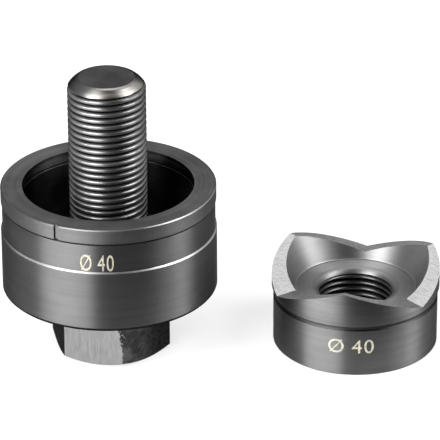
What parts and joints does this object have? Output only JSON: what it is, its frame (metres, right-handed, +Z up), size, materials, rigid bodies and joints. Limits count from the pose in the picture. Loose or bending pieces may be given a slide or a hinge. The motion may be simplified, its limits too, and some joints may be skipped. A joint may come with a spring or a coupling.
{
  "type": "knockout punch",
  "caption": "Round knockout punch for sheet metal: a hexagon-headed draw bolt standing in its cupped die, with the pointed punch that screws on the bolt beside them.",
  "frame": {"origin": "centre of the draw bolt's head, on its underside, where it stands on the bench", "axes": "+Z up along the draw bolt and the die, +X from the draw bolt towards the punch, -Y towards the viewer"},
  "size_m": [0.1052, 0.0516, 0.0698],
  "materials": {
    "die_steel": "dark hardened steel, burnished, with a dull ground rim",
    "bolt_steel": "bright rolled thread over a dark brushed hexagon head",
    "punch_steel": "dark hardened steel with bright ground cutting faces"
  },
  "bodies": {
    "draw_bolt": {"draw_bolt": "bolt_steel", "punch": "punch_steel"},
    "die": {"die": "die_steel"}
  },
  "joints": [
    {"name": "die_turn", "type": "hinge", "parent": "draw_bolt", "child": "die", "pos_m": [0, 0, 0.01585], "axis": [0, 0, 1], "continuous": true}
  ]
}
